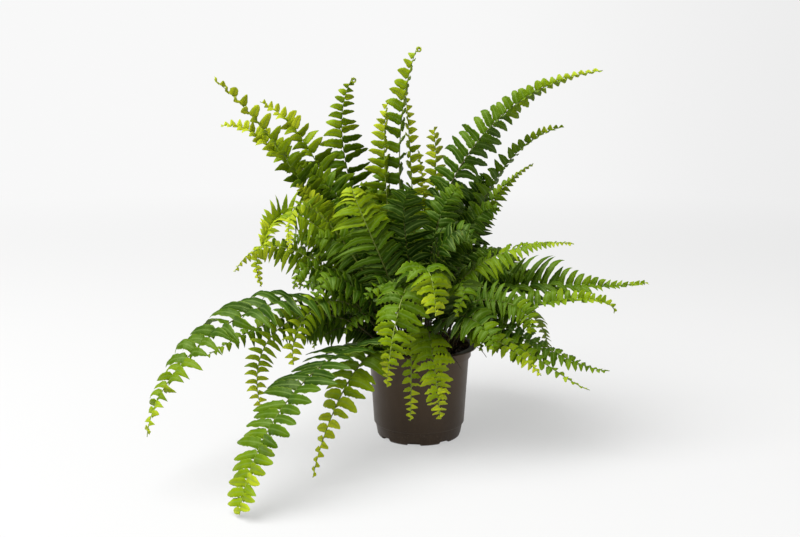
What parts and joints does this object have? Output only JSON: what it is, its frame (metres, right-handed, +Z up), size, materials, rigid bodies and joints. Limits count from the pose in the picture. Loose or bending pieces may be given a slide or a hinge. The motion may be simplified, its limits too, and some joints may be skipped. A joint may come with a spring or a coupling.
{
  "type": "potted fern",
  "caption": "Bushy sword fern with long arching fronds of alternate leaflets, in a round tapered plastic grower's pot.",
  "frame": {"origin": "centre of the pot's base, on the surface that it stands on", "axes": "+Z up along the pot's axis; -Y is the side that the plant's fullest, lowest fronds face; +X is to the right of someone who looks at that side"},
  "size_m": [0.4788, 0.4122, 0.399],
  "materials": {
    "pot": "satin",
    "peat": "matte",
    "leaf_old": "satin",
    "leaf_grown": "satin",
    "leaf_young": "satin"
  },
  "bodies": {
    "root": {"pot": "pot", "soil": "peat", "frond_top_1": "leaf_grown", "frond_top_2": "leaf_young", "frond_top_3": "leaf_young", "frond_top_4": "leaf_grown", "frond_top_5": "leaf_grown", "frond_top_6": "leaf_young", "frond_top_7": "leaf_young", "frond_top_8": "leaf_young", "frond_top_9": "leaf_young", "frond_top_10": "leaf_old", "frond_top_11": "leaf_grown", "frond_top_12": "leaf_grown", "frond_top_13": "leaf_old", "frond_heart_1": "leaf_grown", "frond_heart_2": "leaf_young", "frond_heart_3": "leaf_young", "frond_heart_4": "leaf_young", "frond_heart_5": "leaf_young", "frond_heart_6": "leaf_old", "frond_heart_7": "leaf_old", "frond_heart_8": "leaf_old", "frond_heart_9": "leaf_old", "frond_heart_10": "leaf_grown", "frond_heart_11": "leaf_grown", "frond_left_1": "leaf_young", "frond_left_2": "leaf_young", "frond_left_3": "leaf_young", "frond_left_4": "leaf_young", "frond_left_5": "leaf_young", "frond_left_6": "leaf_grown", "frond_left_7": "leaf_grown", "frond_left_8": "leaf_young", "frond_left_9": "leaf_young", "frond_left_10": "leaf_old", "frond_left_11": "leaf_grown", "frond_right_1": "leaf_grown", "frond_right_2": "leaf_grown", "frond_right_3": "leaf_grown", "frond_right_4": "leaf_grown", "frond_right_5": "leaf_grown", "frond_right_6": "leaf_young", "frond_right_7": "leaf_grown", "frond_right_8": "leaf_grown", "frond_right_9": "leaf_old", "frond_right_10": "leaf_old", "frond_back_1": "leaf_old", "frond_back_2": "leaf_grown", "frond_back_3": "leaf_grown", "frond_back_4": "leaf_old", "frond_back_5": "leaf_grown", "frond_back_6": "leaf_grown", "frond_back_7": "leaf_old", "frond_back_8": "leaf_grown", "frond_back_9": "leaf_grown", "frond_back_10": "leaf_old", "frond_back_11": "leaf_grown", "frond_back_12": "leaf_grown"}
  },
  "joints": []
}
